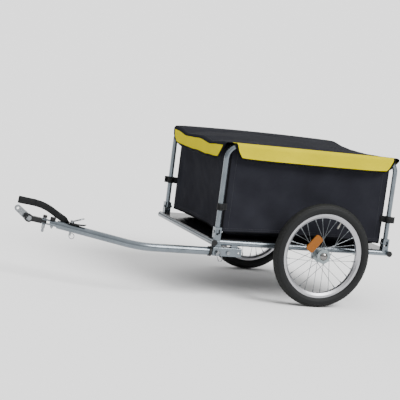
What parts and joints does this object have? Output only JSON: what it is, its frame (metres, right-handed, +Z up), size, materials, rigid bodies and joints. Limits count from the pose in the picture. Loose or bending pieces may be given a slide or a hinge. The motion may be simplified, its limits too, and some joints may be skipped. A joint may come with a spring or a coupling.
{
  "type": "bicycle cargo trailer",
  "caption": "Two-wheeled bicycle cargo trailer: tube frame with folding side hoops, covered fabric bag, and a side drawbar that folds under and hitches to the rear axle.",
  "frame": {"origin": "on the ground, at the bottom centre of the bounding box", "axes": "+X rearwards, the drawbar pointing to -X; +Y the trailer's right side, the drawbar being on the left; +Z up"},
  "size_m": [1.429, 0.737, 0.5782],
  "materials": {
    "frame_paint": "satin powder coat",
    "floor_sheet": "gloss black enamel",
    "rivet_metal": "satin",
    "zinc_steel": "bright zinc plate",
    "black_plastic": "moulded",
    "black_rubber": "matte",
    "bag_fabric": "coated woven nylon",
    "cover_fabric": "coated woven nylon",
    "cover_yellow": "coated woven nylon",
    "webbing": "woven strap",
    "tyre_rubber": "moulded tread",
    "rim_alloy": "anodised",
    "spoke_steel": "bright",
    "hub_alloy": "polished",
    "cap_plastic": "moulded",
    "reflector_orange": "prismatic lens",
    "valve_nickel": "nickel plated"
  },
  "bodies": {
    "frame": {"front_cross_tube": "frame_paint", "rear_cross_tube": "frame_paint", "tube_end_plugs": "black_plastic", "floor_panel": "floor_sheet", "floor_rivets": "rivet_metal", "hoop_pivot_bolts": "zinc_steel", "lock_nuts": "zinc_steel", "bag_walls": "bag_fabric", "bag_floor": "bag_fabric", "cover_top": "cover_fabric", "cover_skirt": "cover_yellow", "drawbar_bracket": "frame_paint", "drawbar_pivot_bolt": "zinc_steel", "left_side_rail": "frame_paint", "left_axle_mount": "frame_paint", "left_hoop_brackets": "frame_paint", "left_axle": "zinc_steel", "right_side_rail": "frame_paint", "right_axle_mount": "frame_paint", "right_hoop_brackets": "frame_paint", "right_axle": "zinc_steel"},
    "left_wheel": {"left_tyre": "tyre_rubber", "left_rim": "rim_alloy", "left_spokes": "spoke_steel", "left_hub": "hub_alloy", "left_bearings": "zinc_steel", "left_hub_cap": "cap_plastic", "left_reflector": "reflector_orange", "left_valve": "valve_nickel"},
    "right_wheel": {"right_tyre": "tyre_rubber", "right_rim": "rim_alloy", "right_spokes": "spoke_steel", "right_hub": "hub_alloy", "right_bearings": "zinc_steel", "right_hub_cap": "cap_plastic", "right_reflector": "reflector_orange", "right_valve": "valve_nickel"},
    "left_hoop": {"left_hoop": "frame_paint", "left_corner_straps": "webbing"},
    "right_hoop": {"right_hoop": "frame_paint", "right_corner_straps": "webbing"},
    "drawbar": {"drawbar_tube": "frame_paint", "drawbar_bush": "black_plastic", "drawbar_collar": "black_rubber", "hitch_stub": "frame_paint", "hitch_pin": "zinc_steel", "hitch_pin_clip": "zinc_steel", "hitch_clamp_bolt": "zinc_steel", "stub_pin": "zinc_steel", "split_ring": "zinc_steel", "safety_strap": "webbing"},
    "lock_pin": {"lock_pin": "zinc_steel"},
    "lock_pin_bail": {"lock_pin_bail": "zinc_steel"},
    "hitch_arm": {"hitch_arm": "black_plastic", "hitch_bolt": "zinc_steel", "hitch_nut": "zinc_steel"},
    "axle_plate": {"axle_plate": "zinc_steel"},
    "d_ring": {"d_ring": "zinc_steel"},
    "hitch_pin_knob": {"hitch_pin_knob": "black_plastic"},
    "clamp_knob": {"clamp_knob": "black_plastic"}
  },
  "joints": [
    {"name": "left_wheel_spin", "type": "hinge", "parent": "frame", "child": "left_wheel", "pos_m": [0.3945, -0.338, 0.195], "axis": [0, 1, 0], "continuous": true},
    {"name": "right_wheel_spin", "type": "hinge", "parent": "frame", "child": "right_wheel", "pos_m": [0.3945, 0.338, 0.195], "axis": [0, 1, 0], "continuous": true},
    {"name": "hoop_fold_left", "type": "hinge", "parent": "frame", "child": "left_hoop", "pos_m": [0.3945, -0.276, 0.248], "axis": [-1, 0, 0], "range_deg": [0, 90], "deforming": ["bag_walls", "cover_top", "cover_skirt"]},
    {"name": "hoop_fold_right", "type": "hinge", "parent": "frame", "child": "right_hoop", "pos_m": [0.3945, 0.276, 0.248], "axis": [1, 0, 0], "range_deg": [0, 77.4]},
    {"name": "drawbar_fold", "type": "hinge", "parent": "frame", "child": "drawbar", "pos_m": [0.0365, -0.278, 0.175], "axis": [0, -1, 0], "range_deg": [0, 180]},
    {"name": "lock_pin_pull", "type": "slide", "parent": "frame", "child": "lock_pin", "axis": [0, -1, 0], "range_m": [0, 0.045]},
    {"name": "bail_swing", "type": "hinge", "parent": "lock_pin", "child": "lock_pin_bail", "pos_m": [-0.0051, -0.30355, 0.175], "axis": [-0.9063, 0, -0.4226], "range_deg": [0, 150]},
    {"name": "hitch_yaw", "type": "hinge", "parent": "drawbar", "child": "hitch_arm", "pos_m": [-0.60391, -0.08475, 0.2118], "axis": [0.0852, -0.0534, 0.9949], "range_deg": [-50, 50]},
    {"name": "hitch_pitch", "type": "hinge", "parent": "hitch_arm", "child": "axle_plate", "pos_m": [-0.6635, -0.0726, 0.2205], "axis": [0, 1, 0], "range_deg": [-45, 30]},
    {"name": "d_ring_swing", "type": "hinge", "parent": "drawbar", "child": "d_ring", "pos_m": [-0.51496, -0.14049, 0.22606], "axis": [-0.531, -0.8474, 0], "range_deg": [0, 62]},
    {"name": "hitch_pin_knob_turn", "type": "hinge", "parent": "drawbar", "child": "hitch_pin_knob", "pos_m": [-0.60233, -0.08574, 0.2302], "axis": [0.0852, -0.0534, 0.9949], "continuous": true},
    {"name": "clamp_knob_turn", "type": "hinge", "parent": "drawbar", "child": "clamp_knob", "pos_m": [-0.57637, -0.10201, 0.22509], "axis": [0.0852, -0.0534, 0.9949], "continuous": true}
  ],
  "couplings": [
    {"joint": "hoop_fold_right", "follows": "hoop_fold_left", "ratio": 0.86}
  ]
}
